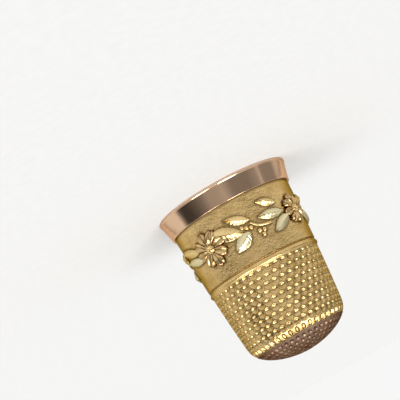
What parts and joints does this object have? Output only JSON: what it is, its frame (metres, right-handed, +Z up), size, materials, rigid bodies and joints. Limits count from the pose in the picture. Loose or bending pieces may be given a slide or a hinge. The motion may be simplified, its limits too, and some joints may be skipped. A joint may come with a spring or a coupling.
{
  "type": "thimble",
  "caption": "Lady's gold thimble: tapered wall with a pitted sewing surface and domed end, plain flared rim, and an applied garland of flowers and leaves round the matted border.",
  "frame": {"origin": "centre of the circle the rim stands on", "axes": "+Z up the axis to the domed end; -Y out through the stretch of garland between two flowers that faces the viewer"},
  "size_m": [0.0178, 0.0178, 0.0224],
  "materials": {
    "yellow_gold": "matted and burnished yellow gold",
    "rose_gold": "polished rose gold",
    "green_gold": "burnished green gold"
  },
  "bodies": {
    "root": {"body": "yellow_gold", "end_cap": "rose_gold", "rim_band": "rose_gold", "flower_1": "rose_gold", "flower_2": "rose_gold", "flower_3": "rose_gold", "flower_4": "rose_gold", "flower_centre_1": "yellow_gold", "flower_centre_2": "yellow_gold", "flower_centre_3": "yellow_gold", "flower_centre_4": "yellow_gold", "leaf_01": "green_gold", "leaf_02": "yellow_gold", "leaf_03": "yellow_gold", "leaf_04": "green_gold", "leaf_05": "green_gold", "leaf_06": "yellow_gold", "leaf_07": "yellow_gold", "leaf_08": "green_gold", "leaf_09": "green_gold", "leaf_10": "yellow_gold", "leaf_11": "green_gold", "leaf_12": "yellow_gold", "leaf_13": "yellow_gold", "leaf_14": "green_gold", "leaf_15": "green_gold", "leaf_16": "yellow_gold", "leaf_17": "yellow_gold", "leaf_18": "green_gold", "leaf_19": "green_gold", "leaf_20": "yellow_gold", "stem_1": "yellow_gold", "stem_2": "yellow_gold", "stem_3": "yellow_gold", "stem_4": "yellow_gold", "berries_1": "yellow_gold", "berries_2": "yellow_gold", "berries_3": "yellow_gold", "berries_4": "yellow_gold"}
  },
  "joints": []
}
